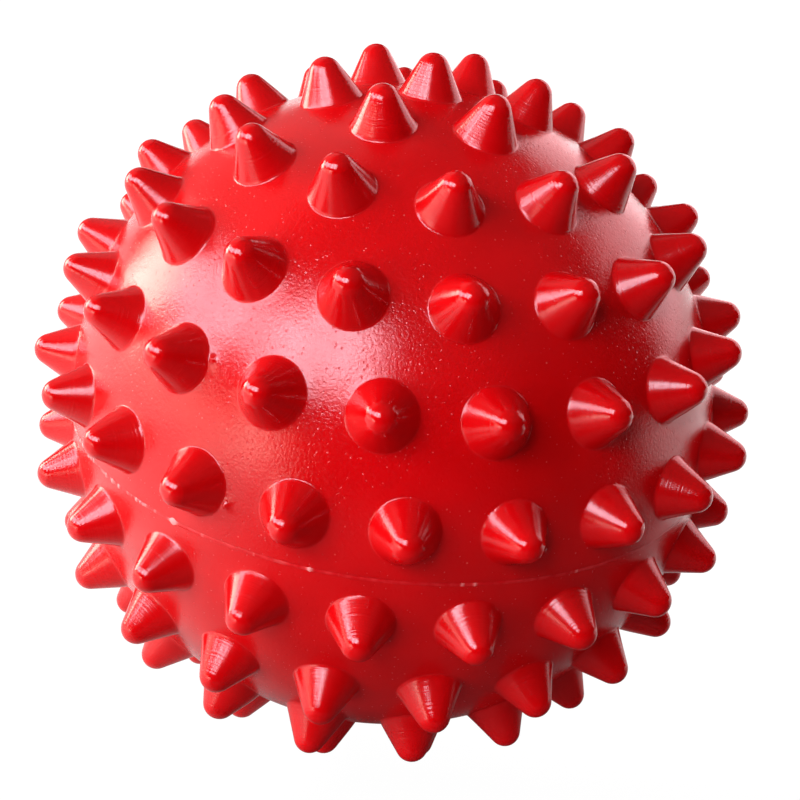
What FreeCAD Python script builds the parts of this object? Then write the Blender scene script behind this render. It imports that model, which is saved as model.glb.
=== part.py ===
"""Spiked massage ball: a hollow soft-PVC ball in two moulded halves, welded round its equator,
with a self-sealing needle valve at its lower pole.

Millimetres. The origin is the centre of the ball and +Z is its polar axis, square to the weld.
Longitude 0 faces -Y and grows towards +X. The valve points along -Z.
"""
import FreeCAD, Part
import math
import os
from FreeCAD import Vector

# The ball
OVERALL_DIAMETER = 90.0
SPIKE_HEIGHT = 4.8
WALL = 3.0
CORE_RADIUS = OVERALL_DIAMETER / 2 - SPIKE_HEIGHT
INNER_RADIUS = CORE_RADIUS - WALL

# One spike: a straight-sided cone with a rounded tip
SPIKE_BASE_RADIUS = 3.7
SPIKE_TIP_RADIUS = 1.9
SPIKE_ROOT_DEPTH = 1.2

# Rows of spikes lie one pitch apart from pole to pole, and each half has this many rows
ROWS_POLE_TO_POLE = 11
ROWS_PER_HALF = 6
SPIKES_ON_GREAT_CIRCLE = 22
ROW_PITCH = 180.0 / ROWS_POLE_TO_POLE
# Longitude of one spike in each row, from the pole to the equator
UPPER_ROW_STARTS = (0.0, 35.8, 9.1, 11.5, -1.1, 4.3)
LOWER_ROW_STARTS = (0.0, 30.0, 22.0, 13.1, -5.2, -0.5)

# The joint between the halves: a lap inside, and a V-groove outside that the weld fills
LAP_RADIUS = CORE_RADIUS - WALL / 2
LAP_HEIGHT = 2.0
GROOVE_HALF_WIDTH = 0.2
GROOVE_DEPTH = 0.7
BEAD_HEIGHT = 0.12

# The valve at the lower pole
NECK_RADIUS = 4.5
FLANGE_RADIUS = 8.0
FLANGE_THICKNESS = 1.6
HOUSING_TOP = -29.0
VALVE_FACE = -39.6
CORE_BORE_RADIUS = 2.6
CORE_HEAD_RADIUS = 3.5
CORE_HEAD_THICKNESS = 1.0
CORE_CLEARANCE = 0.05
CORE_SHANK_RADIUS = CORE_BORE_RADIUS - CORE_CLEARANCE
CORE_SHANK_LENGTH = 8.0
NEEDLE_RADIUS = 1.1
NEEDLE_DEPTH = 6.0
AIRWAY_RADIUS = 1.2

ORIGIN = Vector(0, 0, 0)
POLAR_AXIS = Vector(0, 0, 1)


def at(radius, height):
    """A point of a profile in the XZ plane."""
    return Vector(radius, 0, height)


def on_sphere(sphere_radius, height):
    """The point of a sphere's meridian at a height."""
    return at(math.sqrt(sphere_radius ** 2 - height ** 2), height)


def meridian_arc(sphere_radius, start, end):
    """The arc of a meridian between two of its points."""
    middle = (start + end).normalize() * sphere_radius
    return Part.Arc(start, middle, end).toShape()


def line(start, end):
    return Part.LineSegment(start, end).toShape()


def revolved(edges):
    """The solid that a closed profile sweeps about the polar axis."""
    face = Part.Face(Part.Wire(edges))
    return face.revolve(ORIGIN, POLAR_AXIS, 360)


def lathe(points):
    """The solid that a closed polygon sweeps about the polar axis."""
    closed = points + points[:1]
    return revolved([line(a, b) for a, b in zip(closed, closed[1:])])


def spike_at_pole():
    """One spike on the +Z pole, its flank carried straight on into the wall."""
    tip_centre = CORE_RADIUS + SPIKE_HEIGHT - SPIKE_TIP_RADIUS
    base_height = math.sqrt(CORE_RADIUS ** 2 - SPIKE_BASE_RADIUS ** 2)
    rise = tip_centre - base_height
    reach = math.hypot(SPIKE_BASE_RADIUS, rise)
    half_angle = math.atan2(SPIKE_BASE_RADIUS, rise) - math.asin(SPIKE_TIP_RADIUS / reach)
    root_height = CORE_RADIUS - SPIKE_ROOT_DEPTH
    root_radius = SPIKE_BASE_RADIUS + (base_height - root_height) * math.tan(half_angle)
    root = at(root_radius, root_height)
    shoulder = at(
        SPIKE_TIP_RADIUS * math.cos(half_angle),
        tip_centre + SPIKE_TIP_RADIUS * math.sin(half_angle),
    )
    halfway = (math.pi / 2 + half_angle) / 2
    tip_middle = at(
        SPIKE_TIP_RADIUS * math.cos(halfway),
        tip_centre + SPIKE_TIP_RADIUS * math.sin(halfway),
    )
    tip = at(0, CORE_RADIUS + SPIKE_HEIGHT)
    foot = at(0, root_height)
    return revolved([
        line(foot, root),
        line(root, shoulder),
        Part.Arc(shoulder, tip_middle, tip).toShape(),
        line(tip, foot),
    ])


def spikes(half, starts, first_row):
    """The spikes of one half: +1 is the upper and -1 the lower, from first_row (0 is the pole)."""
    model = spike_at_pole()
    found = []
    for row in range(first_row, ROWS_PER_HALF):
        latitude = 90 - row * ROW_PITCH
        count = max(1, round(SPIKES_ON_GREAT_CIRCLE * math.cos(math.radians(latitude))))
        for index in range(count):
            longitude = starts[row] + index * 360.0 / count
            spike = model.copy()
            spike.rotate(ORIGIN, Vector(0, 1, 0), 90 - half * latitude)
            spike.rotate(ORIGIN, POLAR_AXIS, longitude - 90)
            found.append(spike)
    return found


def upper_shell():
    """The upper half, whose inner lip laps inside the lower half."""
    outer_pole = at(0, CORE_RADIUS)
    inner_pole = at(0, INNER_RADIUS)
    groove_edge = on_sphere(CORE_RADIUS, GROOVE_HALF_WIDTH)
    groove_root = at(CORE_RADIUS - GROOVE_DEPTH, 0)
    lap_top = at(LAP_RADIUS, 0)
    lap_foot = at(LAP_RADIUS, -LAP_HEIGHT)
    lip = on_sphere(INNER_RADIUS, -LAP_HEIGHT)
    body = revolved([
        meridian_arc(CORE_RADIUS, outer_pole, groove_edge),
        line(groove_edge, groove_root),
        line(groove_root, lap_top),
        line(lap_top, lap_foot),
        line(lap_foot, lip),
        meridian_arc(INNER_RADIUS, lip, inner_pole),
        line(inner_pole, outer_pole),
    ])
    return body.multiFuse(spikes(1, UPPER_ROW_STARTS, 0)).removeSplitter()


def lower_shell():
    """The lower half, with a round hole for the valve in place of the spike at its pole."""
    neck_outside = at(NECK_RADIUS, -math.sqrt(CORE_RADIUS ** 2 - NECK_RADIUS ** 2))
    neck_inside = at(NECK_RADIUS, -math.sqrt(INNER_RADIUS ** 2 - NECK_RADIUS ** 2))
    groove_edge = on_sphere(CORE_RADIUS, -GROOVE_HALF_WIDTH)
    groove_root = at(CORE_RADIUS - GROOVE_DEPTH, 0)
    lap_top = at(LAP_RADIUS, 0)
    lap_foot = at(LAP_RADIUS, -LAP_HEIGHT)
    lip = on_sphere(INNER_RADIUS, -LAP_HEIGHT)
    body = revolved([
        line(groove_root, groove_edge),
        meridian_arc(CORE_RADIUS, groove_edge, neck_outside),
        line(neck_outside, neck_inside),
        meridian_arc(INNER_RADIUS, neck_inside, lip),
        line(lip, lap_foot),
        line(lap_foot, lap_top),
        line(lap_top, groove_root),
    ])
    return body.multiFuse(spikes(-1, LOWER_ROW_STARTS, 1)).removeSplitter()


def seam_weld():
    """The weld that fills the groove round the equator and stands a little proud of the skin."""
    above = on_sphere(CORE_RADIUS, GROOVE_HALF_WIDTH)
    below = on_sphere(CORE_RADIUS, -GROOVE_HALF_WIDTH)
    crown = at(CORE_RADIUS + BEAD_HEIGHT, 0)
    root = at(CORE_RADIUS - GROOVE_DEPTH, 0)
    return revolved([
        line(root, below),
        Part.Arc(below, crown, above).toShape(),
        line(above, root),
    ])


def valve_housing():
    """The flanged rubber tube in the hole, its flange bonded to the inside of the wall."""
    seat_neck = at(NECK_RADIUS, -math.sqrt(INNER_RADIUS ** 2 - NECK_RADIUS ** 2))
    seat_rim = at(FLANGE_RADIUS, -math.sqrt(INNER_RADIUS ** 2 - FLANGE_RADIUS ** 2))
    flange_rim = at(FLANGE_RADIUS, seat_rim.z + FLANGE_THICKNESS)
    flange_neck = at(NECK_RADIUS, seat_rim.z + FLANGE_THICKNESS)
    head_seat = VALVE_FACE + CORE_HEAD_THICKNESS
    bore_end = head_seat + CORE_SHANK_LENGTH
    head_wall = CORE_HEAD_RADIUS + CORE_CLEARANCE
    return revolved([
        meridian_arc(INNER_RADIUS, seat_neck, seat_rim),
        line(seat_rim, flange_rim),
        line(flange_rim, flange_neck),
        line(flange_neck, at(NECK_RADIUS, HOUSING_TOP)),
        line(at(NECK_RADIUS, HOUSING_TOP), at(AIRWAY_RADIUS, HOUSING_TOP)),
        line(at(AIRWAY_RADIUS, HOUSING_TOP), at(AIRWAY_RADIUS, bore_end)),
        line(at(AIRWAY_RADIUS, bore_end), at(CORE_BORE_RADIUS, bore_end)),
        line(at(CORE_BORE_RADIUS, bore_end), at(CORE_BORE_RADIUS, head_seat)),
        line(at(CORE_BORE_RADIUS, head_seat), at(head_wall, head_seat)),
        line(at(head_wall, head_seat), at(head_wall, VALVE_FACE)),
        line(at(head_wall, VALVE_FACE), at(NECK_RADIUS, VALVE_FACE)),
        line(at(NECK_RADIUS, VALVE_FACE), seat_neck),
    ])


def valve_core():
    """The headed rubber core that grips the pump needle and seals behind it."""
    head_seat = VALVE_FACE + CORE_HEAD_THICKNESS
    shank_end = head_seat + CORE_SHANK_LENGTH
    needle_end = VALVE_FACE + NEEDLE_DEPTH
    return lathe([
        at(NEEDLE_RADIUS, VALVE_FACE),
        at(CORE_HEAD_RADIUS, VALVE_FACE),
        at(CORE_HEAD_RADIUS, head_seat),
        at(CORE_SHANK_RADIUS, head_seat),
        at(CORE_SHANK_RADIUS, shank_end),
        at(0, shank_end),
        at(0, needle_end),
        at(NEEDLE_RADIUS, needle_end),
    ])


def main():
    os.makedirs("parts", exist_ok=True)
    for make in (upper_shell, lower_shell, seam_weld, valve_housing, valve_core):
        shape = make()
        solid = shape.Solids[0]
        box = solid.BoundBox
        print(
            f"{make.__name__}: {len(shape.Solids)} solid, valid {solid.isValid()}, "
            f"{solid.Volume:.0f} mm3, z {box.ZMin:.2f} to {box.ZMax:.2f}"
        )
        solid.exportStep(f"parts/{make.__name__}.step")


main()
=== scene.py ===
"""Looks of the spiked massage ball: two soft-PVC half shells with their spikes, the weld line
round the equator and the needle valve at the lower pole, on a white studio floor.

Shapes are worked out in millimetres in the ball's own frame and made in metres. The origin is
the ball's centre, +Z is its polar axis, longitude 0 faces -Y and grows towards +X.
"""

import math
import random

import bpy
from mathutils import Matrix, Vector, noise
from mathutils.geometry import delaunay_2d_cdt


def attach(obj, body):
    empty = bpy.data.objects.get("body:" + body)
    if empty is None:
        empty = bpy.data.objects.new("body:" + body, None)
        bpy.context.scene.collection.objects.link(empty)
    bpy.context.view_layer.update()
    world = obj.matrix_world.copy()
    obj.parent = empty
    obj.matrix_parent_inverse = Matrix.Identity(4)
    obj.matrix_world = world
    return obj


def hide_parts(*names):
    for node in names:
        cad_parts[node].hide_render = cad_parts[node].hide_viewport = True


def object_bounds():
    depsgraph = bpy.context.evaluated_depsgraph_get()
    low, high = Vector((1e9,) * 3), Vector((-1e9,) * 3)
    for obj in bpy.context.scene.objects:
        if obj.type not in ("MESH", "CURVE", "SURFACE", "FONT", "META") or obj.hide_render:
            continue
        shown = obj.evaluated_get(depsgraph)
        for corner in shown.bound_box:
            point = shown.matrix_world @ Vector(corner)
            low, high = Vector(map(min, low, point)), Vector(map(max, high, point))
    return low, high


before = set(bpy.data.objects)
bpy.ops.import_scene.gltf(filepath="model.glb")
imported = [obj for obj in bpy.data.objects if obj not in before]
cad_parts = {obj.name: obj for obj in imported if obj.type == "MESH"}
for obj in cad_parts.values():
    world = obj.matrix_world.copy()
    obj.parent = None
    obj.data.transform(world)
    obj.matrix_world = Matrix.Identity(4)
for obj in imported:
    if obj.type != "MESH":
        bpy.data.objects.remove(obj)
CAD_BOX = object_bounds()

MM = 0.001
random.seed(11)

# The ball and its spikes, as the CAD has them
CORE_RADIUS = 40.2
WALL = 3.0
SPIKE_HEIGHT = 4.8
SPIKE_BASE_RADIUS = 3.7
SPIKE_TIP_RADIUS = 1.9
ROWS_PER_HALF = 6
ROW_PITCH = 180.0 / 11
SPIKES_ON_GREAT_CIRCLE = 22
UPPER_ROW_STARTS = (0.0, 35.8, 9.1, 11.5, -1.1, 4.3)
LOWER_ROW_STARTS = (0.0, 30.0, 22.0, 13.1, -5.2, -0.5)
GROOVE_HALF_WIDTH = 0.2
GROOVE_DEPTH = 0.7
LAP_HEIGHT = 2.0
LAP_RADIUS = CORE_RADIUS - WALL / 2

# The valve in the lower pole
NECK_RADIUS = 4.5
FLANGE_RADIUS = 8.0
FLANGE_THICKNESS = 1.6
HOUSING_TOP = 29.0
VALVE_FACE = 39.6
CORE_BORE_RADIUS = 2.6
CORE_HEAD_RADIUS = 3.5
CORE_HEAD_THICKNESS = 1.0
CORE_CLEARANCE = 0.05
NECK_CLEARANCE = 0.01
CORE_SHANK_LENGTH = 8.0
NEEDLE_RADIUS = 1.1
NEEDLE_DEPTH = 6.0
AIRWAY_RADIUS = 1.2

# What the moulding adds to the CAD's sharp shapes
FOOT_FILLET = 0.28
EDGE_ROUND = 0.3
# How much one spike differs from the next, as standard deviations: its tip's lean and sinking in
# millimetres, and its swell and ovalness as shares of its radius
SPIKE_LEAN = 0.05
SPIKE_SINK = 0.05
SPIKE_SWELL = 0.012
SPIKE_OVAL = 0.012
# Swell and ovalness set in over this share of its height, from nothing at its foot
SPIKE_SET_IN = 1 / 4
# The skin's waviness: how long and how high its waves are, and how far it all sinks to stay in size
SKIN_WAVES = ((9.0, 0.05), (3.1, 0.012))
SKIN_SINK = 0.03

# How finely the pieces are meshed
RING_SEGMENTS = 40
FILLET_STEPS = 4
FLANK_STEPS = 5
TIP_STEPS = 7
SKIN_SPACING = 1.15
# Shares of that spacing that the skin's points keep from feet and edge, and from the valve's hole
FOOT_SHARE = 0.5
HOLE_SHARE = 0.4
# The skin's mesh starts this far above the groove
EDGE_BAND = 0.03
EDGE_SEGMENTS = 120
INNER_STEPS = 20
LATHE_SEGMENTS = 96
CORNER_STEPS = 4
WELD_SEGMENTS = 1440
# Faces that meet at more than this are shaded with an edge between them
SHARP_ANGLE = math.radians(40)

# The weld: the stretch of longitude where it is rough, and how strongly it shows up to each longitude
WELD_ROUGH = (-80, -38)
WELD_STRENGTH = ((WELD_ROUGH[0], 0.1), (WELD_ROUGH[1], 2.4), (-5, 0.5), (180, 0.1))
# Its height is a least height, and then waves and grain that grow with its strength
WELD_MIN_HEIGHT = 0.002
WELD_MAX_HEIGHT = 0.22
WELD_WAVE_SIZE = 5.0
WELD_WAVE_LIFT = 0.15
WELD_WAVE_HEIGHT = 0.09
WELD_GRAIN_SIZE = 0.5
WELD_GRAIN_HEIGHT = 0.03
# Half its width is a least width, a share of its strength, and waves
WELD_MIN_WIDTH = 0.10
WELD_WIDTH_GAIN = 0.035
WELD_WIDTH_WAVE_SIZE = 2.0
WELD_WIDTH_WAVE = 0.05
# It drifts up and down, with noise from a place of its own
WELD_DRIFT_SIZE = 3.0
WELD_DRIFT = 0.06
WELD_DRIFT_PLACE = Vector((9, 0, 0))
# Its pale patches, which show where their noise is strong enough
WELD_PATCH_SIZE = 1.2
WELD_PATCH_GAIN = 0.45
WELD_PATCH_LOSS = 0.05
# The ridge's section: shares of its half width, then where its lips meet the groove
WELD_RIDGE = (-0.9, -0.6, -0.2, 0.2, 0.6, 0.9)
WELD_LIPS = ((-0.006, 0.185), (-0.012, 0.197), (-0.09, GROOVE_HALF_WIDTH))
# Beads squeezed out of it: how many and how large, all round and where the weld is rough
WELD_BEADS = 36
BEAD_SIZES = (0.03, 0.08)
ROUGH_BEADS = 30
ROUGH_BEAD_SIZES = (0.06, 0.16)
# The largest beads: longitude and size
WELD_NUBS = ((-32.0, 0.3), (-8.8, 0.16), (13.6, 0.1), (15.5, 0.1), (-49.0, 0.12), (-40.2, 0.12))
# How high a bead is at most, and how much it widens and whitens the weld for its size
BEAD_MAX_HEIGHT = 0.12
BEAD_SPREAD = 1.2
BEAD_PALENESS = 8

# Specks of flash left on the upper half near the feet of spikes: longitude and latitude
FLASH_SPECKS = ((-31.0, 26.3), (-22.8, 6.5), (25.5, 4.9), (64.6, 22.6), (151.6, 38.6), (-104.7, 10.4))
FLASH_HEIGHT = 0.4
FLASH_RADIUS = 0.4
# A speck's bump is worked out as far as this many radii from its middle
FLASH_REACH = 3
# The skin is meshed finely round it: rings of 6, 12 and 18 points half a radius apart, and the gap
# that they keep from a spike's foot
FLASH_RINGS = 3
FLASH_GAP = 0.06

# How much of a noise's range is stretched to the whole of a material's
NOISE_MIDDLE = (0.35, 0.65)
NOISE_MOST = (0.3, 0.7)

# The red PVC: its colours, and pale specks painted on its skin as glints where tiny bumps catch the
# light, with how much they cover it
PVC_DEEP = (0.44, 0.0008, 0.0018, 1)
PVC_LIGHT = (0.51, 0.0012, 0.0026, 1)
PVC_PAINTED_GLINT = (0.85, 0.25, 0.22, 1)
PAINTED_GLINT_SHARE = 0.22
# Its blotches, grain and orange peel: how many to a millimetre, and how detailed
BLOTCHES = (0.09, 3.0)
GRAIN = (3.2, 4.0)
PEEL = (0.55, 2.0)
# Its painted glints and its pits: how many to a millimetre
PAINTED_GLINT_SCALE = 0.62
PIT_SCALE = 1.4
# Where they fade out, as shares of their spacing
PAINTED_GLINT_REACH = (0.04, 0.08)
PIT_REACH = (0.05, 0.2)
# The heights over which skin turns to spike, and over which a spike turns glossier towards its tip
SPIKE_START = (0.02, 0.3)
SPIKE_TIP = (3.0, 4.3)
# Fine rings turned round each spike: how many to a millimetre, how far apart in the noise two
# spikes' rings can be, and the noise's stretch that makes them rougher
TURNED_SCALE = 4.5
TURNED_APART = 90.0
TURNED_STRETCH = (0.4, 0.65)
# Roughness: of the skin with its grain, more in a pit, of a spike from foot to tip, more in its rings
SKIN_ROUGHNESS = (0.09, 0.24)
PIT_ROUGHNESS = 0.12
PIT_ROUGH_REACH = (0.08, 0.2)
SPIKE_ROUGHNESS = (0.15, 0.08)
TURNED_ROUGHNESS = 0.06
# How deep the marks are in millimetres
TURNED_DEPTH = 0.020
GRAIN_DEPTH = 0.034
PIT_DEPTH = 0.025
PEEL_DEPTH = 0.012
# Light that goes into it: how much, how far each colour gets, and over what length in metres
PVC_SUBSURFACE = 0.5
PVC_SUBSURFACE_RADIUS = (1.0, 0.12, 0.12)
PVC_SUBSURFACE_SCALE = 0.0012

# The weld's PVC, and where it was squeezed out
WELD_DEEP = (0.46, 0.001, 0.003, 1)
WELD_LIGHT = (0.54, 0.012, 0.015, 1)
WELD_PALE = (0.80, 0.30, 0.28, 1)
WELD_PALE_SHARE = 0.8
WELD_BLOTCHES = (0.8, 2.0)
WELD_STRETCH = (0.42, 0.66)
WELD_ROUGHNESS = (0.13, 0.27)
WELD_GRAIN = (3.0, 2.0)
WELD_GRAIN_DEPTH = 0.02

# The valve's rubber
HOUSING_COLOURS = ((0.42, 0.003, 0.006, 1), (0.50, 0.006, 0.010, 1))
CORE_COLOURS = ((0.33, 0.004, 0.006, 1), (0.40, 0.008, 0.010, 1))
BLOOM = (0.5, 4.0)
RUBBER_ROUGHNESS = (0.45, 0.62)
RUBBER_GRAIN = (4.0, 2.0)
RUBBER_GRAIN_DEPTH = 0.015

# The camera: as far away, as high and as tilted as a hand-held close-up of the ball
CAMERA_DISTANCE = 164.7
CAMERA_ELEVATION = 26.42
CAMERA_ROLL = 7.14
CAMERA_CLIP = 10
LENS = 57.34
SHIFT = (0.0106, 0.0048)

# The studio, in metres and degrees: brightness 1 is white
LIGHT_DISTANCE = 0.6
COOL = (1.0, 0.90, 1.04)
WARM = (1.0, 0.95, 0.82)
PINK = (1.6, 0.95, 1.0)
WHITE = (1.0, 1.0, 1.0)
# Soft lights round the ball: a band of windows on the left, then fills, a card, a lamp and a wall,
# with their azimuth, elevation, width, height, brightness, colour and whether they show in gloss
SOFT_LIGHTS = {
    "window_0": (111, 12, 24, 22, 9.5, WARM, True),
    "window_1": (84, 26, 30, 18, 8.5, COOL, True),
    "window_2": (57, 34, 28, 18, 7.5, COOL, True),
    "window_3": (32, 38, 26, 24, 9.2, COOL, True),
    "window_4": (14, 38, 14, 22, 6.8, COOL, True),
    "low_glow": (75, 4, 90, 15, 2.2, WARM, True),
    "card": (-139, 20, 50, 36, 1.75, PINK, True),
    "back_fill": (-145, 5, 80, 60, 2.2, WHITE, False),
    "side_fill": (70, 2, 80, 16, 3.0, WHITE, False),
    "lamp": (43, 4, 10, 8, 3.5, WARM, True),
    "pale_wall": (130, 36, 60, 50, 0.32, WHITE, True),
}
# The white backdrop, which fades out round this angle, and a ceiling, which brightens from one
# height of the direction to the other
BACKDROP_ANGLE = 36
BACKDROP_FADE = 6
BACKDROP_BRIGHTNESS = 1.8
CEILING_HEIGHTS = (0.4, 0.8)
CEILING_BRIGHTNESS = 0.08
ROOM_BRIGHTNESS = 0.01
# The floor, which glows more and more over these stretches towards the left and towards the back
FLOOR_REACH = 3.0
FLOOR_COLOUR = (0.02, 0.02, 0.02, 1)
FLOOR_ROUGHNESS = 0.7
LEFTWARD = (-0.87, 0.50, 0.0)
FLOOR_GLOW = 1.15
FLOOR_GLOW_COLOUR = (1.0, 0.92, 0.92, 1.0)
GLOW_TO_LEFT = (-0.012, 0.05)
GLOW_TO_BACK = (-0.02, 0.06)
# What the plastic scatters is lit by a fill besides, which also grows towards the left
FLOOR_FILL = (0.42, 0.8)
FILL_TO_LEFT = (-0.03, 0.05)
# The camera sees this share of an even, slightly overexposed white in it
FLOOR_WHITE_SHARE = 0.9
FLOOR_WHITE_BRIGHTNESS = 1.1


# ---------------------------------------------------------------- shapes

def outward_at(longitude, latitude):
    """The unit vector from the ball's centre at a longitude and latitude in degrees."""
    turn = math.radians(longitude)
    rise = math.radians(latitude)
    return Vector((
        math.cos(rise) * math.sin(turn), -math.cos(rise) * math.cos(turn), math.sin(rise)))


def spike_axes(half):
    """Unit axes of one half's spikes, as if on the upper half, from the pole to the equator."""
    starts = UPPER_ROW_STARTS if half > 0 else LOWER_ROW_STARTS
    axes = []
    for row in range(0 if half > 0 else 1, ROWS_PER_HALF):
        latitude = 90 - row * ROW_PITCH
        count = max(1, round(SPIKES_ON_GREAT_CIRCLE * math.cos(math.radians(latitude))))
        for index in range(count):
            axes.append(outward_at(starts[row] + index * 360.0 / count, latitude))
    return axes


def spike_profile():
    """(distance from the spike's axis, height from the ball's centre) from its foot to its tip."""
    tip_centre = CORE_RADIUS + SPIKE_HEIGHT - SPIKE_TIP_RADIUS
    base = Vector((SPIKE_BASE_RADIUS, math.sqrt(CORE_RADIUS ** 2 - SPIKE_BASE_RADIUS ** 2)))
    rise = tip_centre - base.y
    reach = math.hypot(base.x, rise)
    half_angle = math.atan2(base.x, rise) - math.asin(SPIKE_TIP_RADIUS / reach)
    up_flank = Vector((-math.sin(half_angle), math.cos(half_angle)))
    outward = Vector((math.cos(half_angle), math.sin(half_angle)))
    # The fillet's centre is its radius away from both the flank and the skin
    start = base + outward * FOOT_FILLET
    along = -start.dot(up_flank) + math.sqrt(
        start.dot(up_flank) ** 2 - start.length_squared + (CORE_RADIUS + FOOT_FILLET) ** 2
    )
    centre = start + up_flank * along
    foot_angle = math.atan2(-centre.y, -centre.x)
    flank_angle = math.atan2(-outward.y, -outward.x)
    points = []
    for step in range(FILLET_STEPS + 1):
        angle = foot_angle + (flank_angle - foot_angle) * step / FILLET_STEPS
        points.append(centre + FOOT_FILLET * Vector((math.cos(angle), math.sin(angle))))
    shoulder = Vector((0, tip_centre)) + outward * SPIKE_TIP_RADIUS
    flank_foot = points[-1]
    for step in range(1, FLANK_STEPS + 1):
        points.append(flank_foot.lerp(shoulder, step / FLANK_STEPS))
    for step in range(1, TIP_STEPS + 1):
        angle = half_angle + (math.pi / 2 - half_angle) * step / TIP_STEPS
        points.append(Vector((0, tip_centre)) + SPIKE_TIP_RADIUS * Vector(
            (math.cos(angle), math.sin(angle))))
    return points


def plane_point(unit):
    """A point of the upper half on the stereographic plane."""
    return Vector((unit[0] / (1 + unit[2]), unit[1] / (1 + unit[2])))


def fibonacci_points(spacing):
    """Evenly spread unit vectors on the upper half, about this far apart on the skin."""
    count = int(2 * math.pi * (CORE_RADIUS / spacing) ** 2 / math.sin(math.pi / 3))
    golden = math.pi * (3 - math.sqrt(5))
    found = []
    for index in range(count):
        height = 1 - (index + 0.5) / count
        radius = math.sqrt(1 - height * height)
        found.append(Vector((
            radius * math.cos(index * golden), radius * math.sin(index * golden), height)))
    return found


def speck_points():
    """Unit vectors close together round each speck of flash, so that the skin can follow it."""
    found = []
    for longitude, latitude in FLASH_SPECKS:
        middle = outward_at(longitude, latitude)
        side = middle.orthogonal().normalized()
        other = middle.cross(side)
        found.append(middle)
        for ring in range(1, FLASH_RINGS + 1):
            reach = 0.5 * ring * FLASH_RADIUS / CORE_RADIUS
            count = 6 * ring
            for step in range(count):
                turn = 2 * math.pi * step / count
                spot = middle + reach * (math.cos(turn) * side + math.sin(turn) * other)
                found.append(spot.normalized())
    return found


class Skin:
    """The vertices and faces of one piece, with two values for its material at each vertex.

    On a shell, rise is how far up a spike the vertex is and spike is that spike's own number. On the
    weld, rise is how pale it is there.
    """

    def __init__(self):
        self.points = []
        self.rise = []
        self.spike = []
        self.faces = []

    def add(self, point, rise=0.0, spike=0.0):
        self.points.append(Vector(point))
        self.rise.append(rise)
        self.spike.append(spike)
        return len(self.points) - 1

    def band(self, lower, upper):
        """Quads between two rings of as many vertices."""
        count = len(lower)
        for j in range(count):
            k = (j + 1) % count
            self.faces.append((lower[j], lower[k], upper[k], upper[j]))

    def cap(self, ring, apex):
        for j in range(len(ring)):
            self.faces.append((ring[j], ring[(j + 1) % len(ring)], apex))


def circle(axis, radius, height, count, skin):
    """A ring of vertices round an axis from the ball's centre, counter-clockwise from outside."""
    side = axis.orthogonal().normalized()
    other = axis.cross(side)
    ring = []
    for j in range(count):
        turn = 2 * math.pi * j / count
        spot = axis * height + radius * (math.cos(turn) * side + math.sin(turn) * other)
        ring.append(skin.add(spot))
    return ring


def build_half(half):
    """One half shell: skin, spikes, weld groove, lap and inner wall, as one closed surface.

    Both halves are built as the upper one, and the lower is mirrored afterwards.
    """
    skin = Skin()
    axes = spike_axes(half)
    profile = spike_profile()
    foot = profile[0]
    foot_cosine = math.cos(math.atan2(foot.x, foot.y) + FOOT_SHARE * SKIN_SPACING / CORE_RADIUS)
    pole = Vector((0, 0, 1))
    edge_height = GROOVE_HALF_WIDTH + EDGE_BAND
    edge = circle(pole, math.sqrt(CORE_RADIUS ** 2 - edge_height ** 2), edge_height,
                  EDGE_SEGMENTS, skin)
    rings = [edge]
    for axis in axes:
        rings.append(circle(axis, foot.x, foot.y, RING_SEGMENTS, skin))
    hole = None
    hole_cosine = 1.0
    if half < 0:
        mouth = NECK_RADIUS + EDGE_ROUND
        hole = circle(pole, mouth, math.sqrt(CORE_RADIUS ** 2 - mouth ** 2), EDGE_SEGMENTS, skin)
        rings.append(hole)
        hole_cosine = math.cos((mouth + HOLE_SHARE * SKIN_SPACING) / CORE_RADIUS)
    lowest = edge_height + FOOT_SHARE * SKIN_SPACING
    for unit in fibonacci_points(SKIN_SPACING):
        if unit.z * CORE_RADIUS < lowest or unit.z > hole_cosine:
            continue
        if max(unit.dot(axis) for axis in axes) < foot_cosine:
            skin.add(unit * CORE_RADIUS)
    clear_of_foot = math.cos(math.atan2(foot.x, foot.y) + FLASH_GAP / CORE_RADIUS)
    for unit in speck_points() if half > 0 else []:
        if max(unit.dot(axis) for axis in axes) < clear_of_foot:
            skin.add(unit * CORE_RADIUS)
    fill_skin(skin, rings)
    for number, axis in enumerate(axes):
        grow_spike(skin, rings[number + 1], axis, profile)
    close_wall(skin, edge, hole, half)
    return skin


def fill_skin(skin, rings):
    """Triangles over the skin between the rings, none of them inside a spike's foot."""
    flat = [plane_point(point.normalized()) for point in skin.points]
    edges = []
    owner = {}
    for name, ring in enumerate(rings):
        for j, vertex in enumerate(ring):
            edges.append((vertex, ring[(j + 1) % len(ring)]))
            owner[vertex] = name
    convex_hull = 0
    nearness = 1e-9
    result = delaunay_2d_cdt(flat, edges, [], convex_hull, nearness)
    triangles = result[2]
    source = [origin[0] for origin in result[3]]
    on_no_ring = -1
    outer_ring = 0
    for triangle in triangles:
        corners = [source[v] for v in triangle]
        owners = {owner.get(v, on_no_ring) for v in corners}
        if len(owners) == 1 and owners != {on_no_ring} and owners != {outer_ring}:
            continue
        skin.faces.append(tuple(corners))


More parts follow.
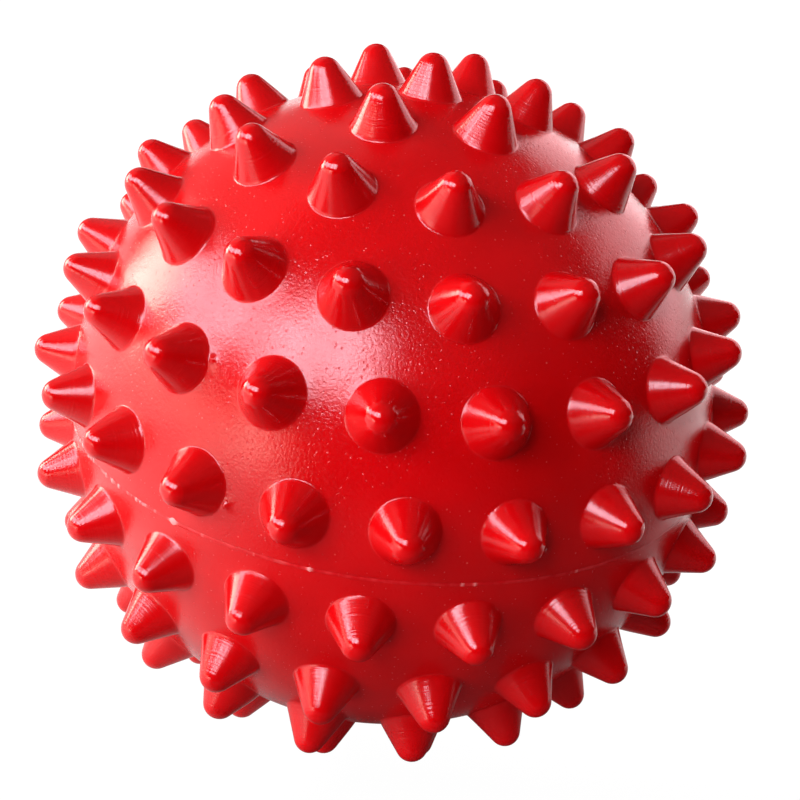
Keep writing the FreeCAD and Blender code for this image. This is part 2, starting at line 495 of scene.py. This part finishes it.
def grow_spike(skin, foot_ring, axis, profile):
    """Rings from a spike's foot to its tip, each spike a little different from the next."""
    side = axis.orthogonal().normalized()
    other = axis.cross(side)
    own_number = random.random()
    lean = Vector((random.gauss(0, SPIKE_LEAN), random.gauss(0, SPIKE_LEAN)))
    sink = abs(random.gauss(0, SPIKE_SINK))
    swell = 1 + random.gauss(0, SPIKE_SWELL)
    oval = random.gauss(0, SPIKE_OVAL)
    oval_turn = random.uniform(0, math.pi)
    base_height = profile[0].y
    top = profile[-1].y - base_height
    below = foot_ring
    for spot in profile[1:-1]:
        share = (spot.y - base_height) / top
        ring = []
        for j in range(RING_SEGMENTS):
            turn = 2 * math.pi * j / RING_SEGMENTS
            grown = spot.x * (1 + (swell - 1 + oval * math.cos(2 * (turn - oval_turn)))
                              * min(1.0, share / SPIKE_SET_IN))
            x = grown * math.cos(turn) + lean.x * share
            y = grown * math.sin(turn) + lean.y * share
            place = axis * (spot.y - sink * share) + side * x + other * y
            ring.append(skin.add(place, share * top, own_number))
        skin.band(below, ring)
        below = ring
    tip = axis * (profile[-1].y - sink) + side * lean.x + other * lean.y
    skin.cap(below, skin.add(tip, top, own_number))


def close_wall(skin, edge, hole, half):
    """The groove, the lapped joint face and the inner wall, from the skin's edge to the pole."""
    inner_radius = CORE_RADIUS - WALL
    pole = Vector((0, 0, 1))
    lap = -LAP_HEIGHT if half > 0 else LAP_HEIGHT
    inner_edge = math.sqrt(inner_radius ** 2 - LAP_HEIGHT ** 2)
    groove_edge = math.sqrt(CORE_RADIUS ** 2 - GROOVE_HALF_WIDTH ** 2)
    steps = [(groove_edge, GROOVE_HALF_WIDTH), (CORE_RADIUS - GROOVE_DEPTH, 0.0)]
    steps.extend([(LAP_RADIUS, 0.0), (LAP_RADIUS, lap)])
    steps.append((inner_edge, lap))
    if half > 0:
        steps.append((inner_radius, 0.0))
    hole_angle = math.asin(NECK_RADIUS / inner_radius) if hole else 0.0
    first = math.acos(LAP_HEIGHT / inner_radius)
    for step in range(1, INNER_STEPS + (1 if hole else 0)):
        polar = first + (hole_angle - first) * step / INNER_STEPS
        steps.append((inner_radius * math.sin(polar), inner_radius * math.cos(polar)))
    below = edge
    for radius, height in steps:
        ring = circle(pole, radius, height, EDGE_SEGMENTS, skin)
        skin.band(ring, below)
        below = ring
    if not hole:
        skin.cap(below[::-1], skin.add(pole * inner_radius))
        return
    upper = hole
    face = math.sqrt(CORE_RADIUS ** 2 - (NECK_RADIUS + EDGE_ROUND) ** 2)
    for step in range(1, FILLET_STEPS + 1):
        angle = math.pi / 2 * step / FILLET_STEPS
        ring = circle(pole, NECK_RADIUS + EDGE_ROUND * (1 - math.sin(angle)),
                      face - EDGE_ROUND * (1 - math.cos(angle)), EDGE_SEGMENTS, skin)
        skin.band(upper, ring)
        upper = ring
    skin.band(upper, below)


def undulate(skin):
    """A slow, shallow waviness over the outside, as moulded soft plastic has."""
    outside = CORE_RADIUS - GROOVE_DEPTH / 2
    for point in skin.points:
        if point.length < outside:
            continue
        wave = sum(noise.noise(point / size) * height for size, height in SKIN_WAVES)
        point += point.normalized() * (wave - SKIN_SINK)


def raise_specks(skin):
    """Small bumps of flash on the skin."""
    for longitude, latitude in FLASH_SPECKS:
        spot = outward_at(longitude, latitude) * CORE_RADIUS
        for point in skin.points:
            apart = (point - spot).length / FLASH_RADIUS
            if apart < FLASH_REACH:
                point += point.normalized() * FLASH_HEIGHT * math.exp(-apart * apart)


def weld_beads():
    """The longitude and size of every bead on the weld."""
    beads = []
    for _ in range(WELD_BEADS):
        beads.append((random.uniform(0, 360), random.uniform(*BEAD_SIZES)))
    for _ in range(ROUGH_BEADS):
        beads.append((random.uniform(*WELD_ROUGH), random.uniform(*ROUGH_BEAD_SIZES)))
    beads.extend(WELD_NUBS)
    return beads


def eastward(longitude):
    """A longitude between -180 and 180."""
    return (longitude + 180) % 360 - 180


def build_weld():
    """The weld in the groove: a low ridge that comes and goes, with beads squeezed out of it."""
    skin = Skin()
    beads = weld_beads()
    rings = []
    for j in range(WELD_SEGMENTS):
        longitude = 360.0 * j / WELD_SEGMENTS
        turn = math.radians(longitude)
        outward = Vector((math.sin(turn), -math.cos(turn), 0))
        here = outward * CORE_RADIUS
        east = eastward(longitude)
        strength = next(value for limit, value in WELD_STRENGTH if east <= limit)
        flow = max(0.0, noise.noise(here / WELD_WAVE_SIZE) + WELD_WAVE_LIFT)
        grain = noise.noise(here / WELD_GRAIN_SIZE)
        height = WELD_MIN_HEIGHT + strength * (WELD_WAVE_HEIGHT * flow + WELD_GRAIN_HEIGHT * grain)
        width = (WELD_MIN_WIDTH + WELD_WIDTH_GAIN * strength
                 + WELD_WIDTH_WAVE * noise.noise(here / WELD_WIDTH_WAVE_SIZE))
        drift = WELD_DRIFT * noise.noise(here / WELD_DRIFT_SIZE + WELD_DRIFT_PLACE)
        patch = WELD_PATCH_GAIN * strength * noise.noise(here / WELD_PATCH_SIZE)
        pale = max(0.0, patch - WELD_PATCH_LOSS)
        for place, size in beads:
            apart = math.radians(eastward(longitude - place)) * CORE_RADIUS
            swell = math.exp(-(apart / size) ** 2 / 2)
            height += min(BEAD_MAX_HEIGHT, size) * swell
            width += BEAD_SPREAD * size * swell
            pale = max(pale, min(1.0, BEAD_PALENESS * size * swell))
        height = min(height, WELD_MAX_HEIGHT)
        section = [(-GROOVE_DEPTH, 0.0)]
        section.extend((rise, -across) for rise, across in reversed(WELD_LIPS))
        section.extend((height * math.cos(share * math.pi / 2), width * share) for share in WELD_RIDGE)
        section.extend(WELD_LIPS)
        ring = []
        for rise, across in section:
            spot = outward * (CORE_RADIUS + rise) + Vector((0, 0, across + drift))
            ring.append(skin.add(spot, pale))
        rings.append(ring)
    for j, ring in enumerate(rings):
        skin.band(rings[(j + 1) % len(rings)], ring)
    return skin


def lathe_piece(outline):
    """A closed outline turned about the polar axis: each corner's radius, height and rounding."""
    points = []
    for index, (radius, height, rounding) in enumerate(outline):
        corner = Vector((radius, height))
        if not rounding:
            points.append(corner)
            continue
        previous = Vector(outline[index - 1][:2])
        following = Vector(outline[(index + 1) % len(outline)][:2])
        before = (previous - corner).normalized() * rounding
        after = (following - corner).normalized() * rounding
        for step in range(CORNER_STEPS + 1):
            angle = math.pi / 2 * step / CORNER_STEPS
            points.append(corner + before * (1 - math.sin(angle)) + after * (1 - math.cos(angle)))
    skin = Skin()
    pole = Vector((0, 0, 1))
    rings = []
    for spot in points:
        if spot.x == 0:
            rings.append(skin.add((0, 0, spot.y)))
        else:
            rings.append(circle(pole, spot.x, spot.y, LATHE_SEGMENTS, skin))
    for lower, upper in zip(rings, rings[1:] + rings[:1]):
        if isinstance(lower, int) and isinstance(upper, int):
            continue
        if isinstance(upper, int):
            skin.cap(lower, upper)
        elif isinstance(lower, int):
            skin.cap(upper[::-1], lower)
        else:
            skin.band(lower, upper)
    return skin


def build_housing():
    """The rubber tube in the lower pole, with the flange that is bonded inside the wall."""
    inner_radius = CORE_RADIUS - WALL
    seat = math.sqrt(inner_radius ** 2 - FLANGE_RADIUS ** 2)
    neck_seat = math.sqrt(inner_radius ** 2 - NECK_RADIUS ** 2)
    bore_end = VALVE_FACE - CORE_HEAD_THICKNESS - CORE_SHANK_LENGTH
    head_seat = VALVE_FACE - CORE_HEAD_THICKNESS
    neck = NECK_RADIUS - NECK_CLEARANCE
    socket = CORE_HEAD_RADIUS + CORE_CLEARANCE
    return lathe_piece([
        (CORE_BORE_RADIUS, head_seat, 0),
        (CORE_BORE_RADIUS, bore_end, 0),
        (AIRWAY_RADIUS, bore_end, 0),
        (AIRWAY_RADIUS, HOUSING_TOP, 0.3),
        (neck, HOUSING_TOP, 0.4),
        (neck, seat - FLANGE_THICKNESS, 0),
        (FLANGE_RADIUS, seat - FLANGE_THICKNESS, 0.3),
        (FLANGE_RADIUS, seat, 0.2),
        (neck, neck_seat, 0),
        (neck, VALVE_FACE, 0.25),
        (socket, VALVE_FACE, 0.15),
        (socket, head_seat, 0),
    ])


def build_core():
    """The headed rubber core, with the needle's hole up its middle."""
    head_seat = VALVE_FACE - CORE_HEAD_THICKNESS
    shank_end = head_seat - CORE_SHANK_LENGTH
    shank = CORE_BORE_RADIUS - CORE_CLEARANCE
    needle_end = VALVE_FACE - NEEDLE_DEPTH
    return lathe_piece([
        (0, shank_end, 0),
        (shank, shank_end, 0.4),
        (shank, head_seat, 0),
        (CORE_HEAD_RADIUS, head_seat, 0.1),
        (CORE_HEAD_RADIUS, VALVE_FACE, 0.25),
        (NEEDLE_RADIUS, VALVE_FACE, 0.3),
        (NEEDLE_RADIUS, needle_end, 0),
        (0, needle_end, 0),
    ])


def mesh_object(name, skin, material, flip=False):
    """A smooth-shaded object from a skin, mirrored to the lower half if asked."""
    sign = -1 if flip else 1
    points = [(p.x * MM, p.y * MM, sign * p.z * MM) for p in skin.points]
    faces = [face[::-1] for face in skin.faces] if flip else skin.faces
    mesh = bpy.data.meshes.new(name)
    mesh.from_pydata(points, [], faces)
    mesh.polygons.foreach_set("use_smooth", [True] * len(mesh.polygons))
    mesh.update()
    mesh.set_sharp_from_angle(angle=SHARP_ANGLE)
    for label, values in (("rise", skin.rise), ("spike", skin.spike)):
        layer = mesh.attributes.new(label, "FLOAT", "POINT")
        layer.data.foreach_set("value", values)
    mesh.materials.append(material)
    mesh.update()
    made = bpy.data.objects.new(name, mesh)
    bpy.context.scene.collection.objects.link(made)
    return made


# ---------------------------------------------------------------- materials

class Nodes:
    """A short way to lay out one material's nodes."""

    def __init__(self, name):
        self.material = bpy.data.materials.new(name)
        self.material.use_nodes = True
        self.tree = self.material.node_tree
        self.shader = self.tree.nodes["Principled BSDF"]

    def add(self, kind, inputs=None, **settings):
        """A node of this kind; an input is given a number, a colour or another node's output."""
        made = self.tree.nodes.new("ShaderNode" + kind)
        for name, value in settings.items():
            setattr(made, name, value)
        for name, value in (inputs or {}).items():
            self.put(made.inputs[name], value)
        return made

    def put(self, socket, value):
        if isinstance(value, bpy.types.NodeSocket):
            self.tree.links.new(value, socket)
        else:
            socket.default_value = value

    def millimetres(self):
        """Object coordinates in millimetres."""
        place = self.add("TexCoord").outputs["Object"]
        scaled = self.add("Mapping", {"Vector": place, "Scale": (1 / MM, 1 / MM, 1 / MM)})
        return scaled.outputs["Vector"]

    def noise(self, place, scale, detail):
        made = self.add("TexNoise", {"Vector": place, "Scale": scale, "Detail": detail})
        return made.outputs["Fac"]

    def cells(self, place, scale):
        """How far each point is from the nearest of many scattered ones."""
        made = self.add("TexVoronoi", {"Vector": place, "Scale": scale})
        return made.outputs["Distance"]

    def attribute(self, name):
        return self.add("Attribute", attribute_name=name).outputs["Fac"]

    def spread(self, value, low, high, to_low, to_high):
        """A value's stretch from low to high, stretched to another and kept within it."""
        made = self.add("MapRange", {"Value": value, "From Min": low, "From Max": high,
                                     "To Min": to_low, "To Max": to_high})
        return made.outputs["Result"]

    def math(self, operation, first, second):
        made = self.add("Math", operation=operation)
        self.put(made.inputs[0], first)
        self.put(made.inputs[1], second)
        return made.outputs["Value"]

    def blend(self, share, first, second):
        """A colour part-way from the first to the second."""
        made = self.add("Mix", data_type="RGBA")
        self.put(made.inputs[0], share)
        self.put(made.inputs[6], first)
        self.put(made.inputs[7], second)
        return made.outputs[2]

    def bump(self, height, distance, below=None):
        made = self.add("Bump", {"Height": height, "Distance": distance * MM})
        if below is not None:
            self.put(made.inputs["Normal"], below)
        return made.outputs["Normal"]


def turned_rings(nodes, rise):
    """Noise that makes fine rings up a spike, different on each."""
    up = nodes.math("MULTIPLY", rise, TURNED_SCALE)
    start = nodes.math("MULTIPLY", nodes.attribute("spike"), TURNED_APART)
    made = nodes.add("TexNoise", {"Scale": 1.0, "Detail": 2.0, "W": nodes.math("ADD", up, start)},
                     noise_dimensions="1D")
    return made.outputs["Fac"]


def shell_pvc():
    """Red soft PVC: satin, grained and lightly pitted skin, with smoother, glossier spikes."""
    nodes = Nodes("red_pvc")
    shader = nodes.shader.inputs
    place = nodes.millimetres()
    rise = nodes.attribute("rise")
    on_spike = nodes.spread(rise, *SPIKE_START, 0.0, 1.0)
    on_skin = nodes.spread(rise, *SPIKE_START, 1.0, 0.0)

    blotches = nodes.spread(nodes.noise(place, *BLOTCHES), *NOISE_MIDDLE, 0.0, 1.0)
    # Painted glints: pale specks in the skin's colour where tiny bumps would catch the light
    painted_glints = nodes.spread(nodes.cells(place, PAINTED_GLINT_SCALE), *PAINTED_GLINT_REACH, PAINTED_GLINT_SHARE, 0.0)
    red = nodes.blend(blotches, PVC_DEEP, PVC_LIGHT)
    painted_glints_on_skin = nodes.math("MULTIPLY", painted_glints, on_skin)
    nodes.put(shader["Base Color"], nodes.blend(painted_glints_on_skin, red, PVC_PAINTED_GLINT))

    grain = nodes.noise(place, *GRAIN)
    pits = nodes.cells(place, PIT_SCALE)
    skin_gloss = nodes.math(
        "ADD",
        nodes.spread(grain, *NOISE_MOST, *SKIN_ROUGHNESS),
        nodes.spread(pits, *PIT_ROUGH_REACH, PIT_ROUGHNESS, 0.0),
    )
    turned = turned_rings(nodes, rise)
    spike_gloss = nodes.math(
        "ADD",
        nodes.spread(rise, *SPIKE_TIP, *SPIKE_ROUGHNESS),
        nodes.spread(turned, *TURNED_STRETCH, 0.0, TURNED_ROUGHNESS),
    )
    gloss = nodes.add("Mix", data_type="FLOAT")
    nodes.put(gloss.inputs[0], on_spike)
    nodes.put(gloss.inputs[2], skin_gloss)
    nodes.put(gloss.inputs[3], spike_gloss)
    nodes.put(shader["Roughness"], gloss.outputs[0])

    pit = nodes.spread(pits, *PIT_REACH, 0.0, 1.0)
    peel = nodes.noise(place, *PEEL)
    marks = nodes.bump(nodes.math("MULTIPLY", turned, on_spike), TURNED_DEPTH)
    for mark, depth in ((grain, GRAIN_DEPTH), (pit, PIT_DEPTH), (peel, PEEL_DEPTH)):
        marks = nodes.bump(nodes.math("MULTIPLY", mark, on_skin), depth, marks)
    nodes.put(shader["Normal"], marks)

    nodes.put(shader["Subsurface Weight"], PVC_SUBSURFACE)
    nodes.put(shader["Subsurface Radius"], PVC_SUBSURFACE_RADIUS)
    nodes.put(shader["Subsurface Scale"], PVC_SUBSURFACE_SCALE)
    return nodes.material


def weld_pvc():
    """The weld: the same PVC, melted, so a little paler than the skin, and palest in its beads."""
    nodes = Nodes("weld_pvc")
    shader = nodes.shader.inputs
    place = nodes.millimetres()
    patches = nodes.noise(place, *WELD_BLOTCHES)
    red = nodes.blend(nodes.spread(patches, *WELD_STRETCH, 0.0, 1.0), WELD_DEEP, WELD_LIGHT)
    squeezed_out = nodes.math("MULTIPLY", nodes.attribute("rise"), WELD_PALE_SHARE)
    nodes.put(shader["Base Color"], nodes.blend(squeezed_out, red, WELD_PALE))
    nodes.put(shader["Roughness"], nodes.spread(patches, *NOISE_MOST, *WELD_ROUGHNESS))
    nodes.put(shader["Normal"], nodes.bump(nodes.noise(place, *WELD_GRAIN), WELD_GRAIN_DEPTH))
    return nodes.material


def valve_rubber(name, dark, light):
    """Moulded rubber with a fine matt bloom."""
    nodes = Nodes(name)
    shader = nodes.shader.inputs
    place = nodes.millimetres()
    bloom = nodes.noise(place, *BLOOM)
    red = nodes.blend(nodes.spread(bloom, *NOISE_MIDDLE, 0.0, 1.0), dark, light)
    nodes.put(shader["Base Color"], red)
    nodes.put(shader["Roughness"], nodes.spread(bloom, *NOISE_MOST, *RUBBER_ROUGHNESS))
    nodes.put(shader["Normal"], nodes.bump(nodes.noise(place, *RUBBER_GRAIN), RUBBER_GRAIN_DEPTH))
    return nodes.material


# ---------------------------------------------------------------- pieces

def add_piece(skin, node, body, material, below=False):
    """One piece of the ball in place of the CAD node that it stands for."""
    piece = mesh_object(node + "_surface", skin, material, flip=below)
    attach(piece, body)
    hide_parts(node)


def build_ball():
    """All five pieces. The valve's two are built with +Z for the lower pole, and mirrored."""
    red = shell_pvc()
    for half, node in ((1, "upper_shell"), (-1, "lower_shell")):
        skin = build_half(half)
        undulate(skin)
        if half > 0:
            raise_specks(skin)
        add_piece(skin, node, "ball", red, below=half < 0)
    weld = build_weld()
    undulate(weld)
    add_piece(weld, "seam_weld", "ball", weld_pvc())
    housing_rubber = valve_rubber("housing_rubber", *HOUSING_COLOURS)
    add_piece(build_housing(), "valve_housing", "ball", housing_rubber,
              below=True)
    core_rubber = valve_rubber("core_rubber", *CORE_COLOURS)
    add_piece(build_core(), "valve_core", "valve_plug", core_rubber, below=True)


# ---------------------------------------------------------------- studio

def camera_axes():
    """The camera's right, up and backward directions in the ball's frame."""
    elevation = math.radians(CAMERA_ELEVATION)
    roll = math.radians(CAMERA_ROLL)
    back = Vector((0, -math.cos(elevation), math.sin(elevation)))
    level_up = Vector((0, math.sin(elevation), math.cos(elevation)))
    level_right = Vector((1, 0, 0))
    right = level_right * math.cos(roll) + level_up * math.sin(roll)
    up = level_up * math.cos(roll) - level_right * math.sin(roll)
    return right, up, back


def add_camera():
    right, up, back = camera_axes()
    data = bpy.data.cameras.new("camera")
    data.lens = LENS
    data.shift_x, data.shift_y = SHIFT
    data.clip_start = CAMERA_CLIP * MM
    camera = bpy.data.objects.new("camera", data)
    turn = Matrix((right, up, back)).transposed().to_4x4()
    camera.matrix_world = Matrix.Translation(back * CAMERA_DISTANCE * MM) @ turn
    bpy.context.scene.collection.objects.link(camera)
    bpy.context.scene.camera = camera


def soft_light(name, azimuth, elevation, across, high, brightness, colour, shine):
    """A soft light that faces the ball; all angles are in degrees, seen from the ball.

    Azimuth 0 is the camera's side and grows to the camera's left.
    """
    turn = math.radians(azimuth)
    rise = math.radians(elevation)
    towards = Vector((
        -math.cos(rise) * math.sin(turn), -math.cos(rise) * math.cos(turn), math.sin(rise)))
    data = bpy.data.lights.new(name, "AREA")
    data.shape = "RECTANGLE"
    data.size = 2 * LIGHT_DISTANCE * math.tan(math.radians(across / 2))
    data.size_y = 2 * LIGHT_DISTANCE * math.tan(math.radians(high / 2))
    data.energy = brightness * math.pi * data.size * data.size_y
    data.color = colour
    light = bpy.data.objects.new(name, data)
    light.location = towards * LIGHT_DISTANCE
    light.visible_glossy = shine
    light.rotation_mode = "QUATERNION"
    light.rotation_quaternion = (-towards).to_track_quat("-Z", "Y")
    bpy.context.scene.collection.objects.link(light)


def add_floor():
    """A plain pale floor; the camera sees it lit up almost to white, with a faint shadow."""
    low = CAD_BOX[0].z
    mesh = bpy.data.meshes.new("floor")
    corners = [(-FLOOR_REACH, -FLOOR_REACH, low), (FLOOR_REACH, -FLOOR_REACH, low),
               (FLOOR_REACH, FLOOR_REACH, low), (-FLOOR_REACH, FLOOR_REACH, low)]
    mesh.from_pydata(corners, [], [(0, 1, 2, 3)])
    nodes = Nodes("pale_floor")
    nodes.put(nodes.shader.inputs["Base Color"], FLOOR_COLOUR)
    nodes.put(nodes.shader.inputs["Roughness"], FLOOR_ROUGHNESS)
    place = nodes.add("TexCoord").outputs["Object"]
    backward = nodes.add("SeparateXYZ", {"Vector": place}).outputs["Y"]
    sideways = nodes.add("VectorMath", operation="DOT_PRODUCT")
    nodes.put(sideways.inputs[0], place)
    nodes.put(sideways.inputs[1], LEFTWARD)
    leftward = sideways.outputs["Value"]
    beside = nodes.spread(leftward, *GLOW_TO_LEFT, 0.0, FLOOR_GLOW)
    behind = nodes.spread(backward, *GLOW_TO_BACK, 0.0, FLOOR_GLOW)
    glow_here = nodes.math("MAXIMUM", beside, behind)
    path = nodes.add("LightPath")
    fill_here = nodes.spread(leftward, *FILL_TO_LEFT, *FLOOR_FILL)
    fill = nodes.math("MULTIPLY", path.outputs["Is Diffuse Ray"], fill_here)
    nodes.put(nodes.shader.inputs["Emission Color"], FLOOR_GLOW_COLOUR)
    nodes.put(nodes.shader.inputs["Emission Strength"], nodes.math("ADD", glow_here, fill))
    seen = path.outputs["Is Camera Ray"]
    white = nodes.add("Emission", {"Color": (*WHITE, 1), "Strength": FLOOR_WHITE_BRIGHTNESS})
    lit = nodes.add("MixShader", {"Fac": nodes.math("MULTIPLY", seen, FLOOR_WHITE_SHARE)})
    nodes.tree.links.new(nodes.shader.outputs[0], lit.inputs[1])
    nodes.tree.links.new(white.outputs[0], lit.inputs[2])
    # Seen from underneath, the floor is clear, so that the valve shows
    underneath = nodes.math("MULTIPLY", seen, nodes.add("NewGeometry").outputs["Backfacing"])
    clear = nodes.add("MixShader", {"Fac": underneath})
    nodes.tree.links.new(lit.outputs[0], clear.inputs[1])
    nodes.tree.links.new(nodes.add("BsdfTransparent").outputs[0], clear.inputs[2])
    nodes.tree.links.new(clear.outputs[0], nodes.tree.nodes["Material Output"].inputs["Surface"])
    # The floor isn't sampled as a lamp is, so the kind of ray is known wherever its glow arrives
    nodes.material.cycles.emission_sampling = "NONE"
    mesh.materials.append(nodes.material)
    floor = bpy.data.objects.new("floor", mesh)
    bpy.context.scene.collection.objects.link(floor)


def add_world():
    """A white backdrop behind the ball, a faint ceiling and a dim room; the camera sees only white."""
    world = bpy.data.worlds.new("studio")
    world.use_nodes = True
    tree = world.node_tree
    room = tree.nodes["Background"]
    white = tree.nodes.new("ShaderNodeBackground")
    white.inputs["Color"].default_value = (*WHITE, 1)
    direction = tree.nodes.new("ShaderNodeTexCoord").outputs["Generated"]
    behind = -camera_axes()[2]
    facing = tree.nodes.new("ShaderNodeVectorMath")
    facing.operation = "DOT_PRODUCT"
    facing.inputs[1].default_value = behind
    tree.links.new(direction, facing.inputs[0])
    edge = tree.nodes.new("ShaderNodeMapRange")
    edge.interpolation_type = "SMOOTHSTEP"
    edge.inputs["From Min"].default_value = math.cos(math.radians(BACKDROP_ANGLE + BACKDROP_FADE))
    edge.inputs["From Max"].default_value = math.cos(math.radians(BACKDROP_ANGLE - BACKDROP_FADE))
    edge.inputs["To Min"].default_value = ROOM_BRIGHTNESS
    edge.inputs["To Max"].default_value = BACKDROP_BRIGHTNESS
    tree.links.new(facing.outputs["Value"], edge.inputs["Value"])
    height = tree.nodes.new("ShaderNodeSeparateXYZ")
    tree.links.new(direction, height.inputs[0])
    ceiling = tree.nodes.new("ShaderNodeMapRange")
    ceiling.inputs["From Min"].default_value = CEILING_HEIGHTS[0]
    ceiling.inputs["From Max"].default_value = CEILING_HEIGHTS[1]
    ceiling.inputs["To Max"].default_value = CEILING_BRIGHTNESS
    tree.links.new(height.outputs["Z"], ceiling.inputs["Value"])
    both = tree.nodes.new("ShaderNodeMath")
    tree.links.new(edge.outputs["Result"], both.inputs[0])
    tree.links.new(ceiling.outputs["Result"], both.inputs[1])
    tree.links.new(both.outputs["Value"], room.inputs["Strength"])
    room.inputs["Color"].default_value = (*WHITE, 1)
    seen = tree.nodes.new("ShaderNodeLightPath").outputs["Is Camera Ray"]
    mix = tree.nodes.new("ShaderNodeMixShader")
    tree.links.new(seen, mix.inputs["Fac"])
    tree.links.new(room.outputs[0], mix.inputs[1])
    tree.links.new(white.outputs[0], mix.inputs[2])
    tree.links.new(mix.outputs[0], tree.nodes["World Output"].inputs["Surface"])
    bpy.context.scene.world = world
    bpy.context.scene.view_settings.view_transform = "Standard"


build_ball()
add_camera()
for label, settings in SOFT_LIGHTS.items():
    soft_light(label, *settings)
add_floor()
add_world()
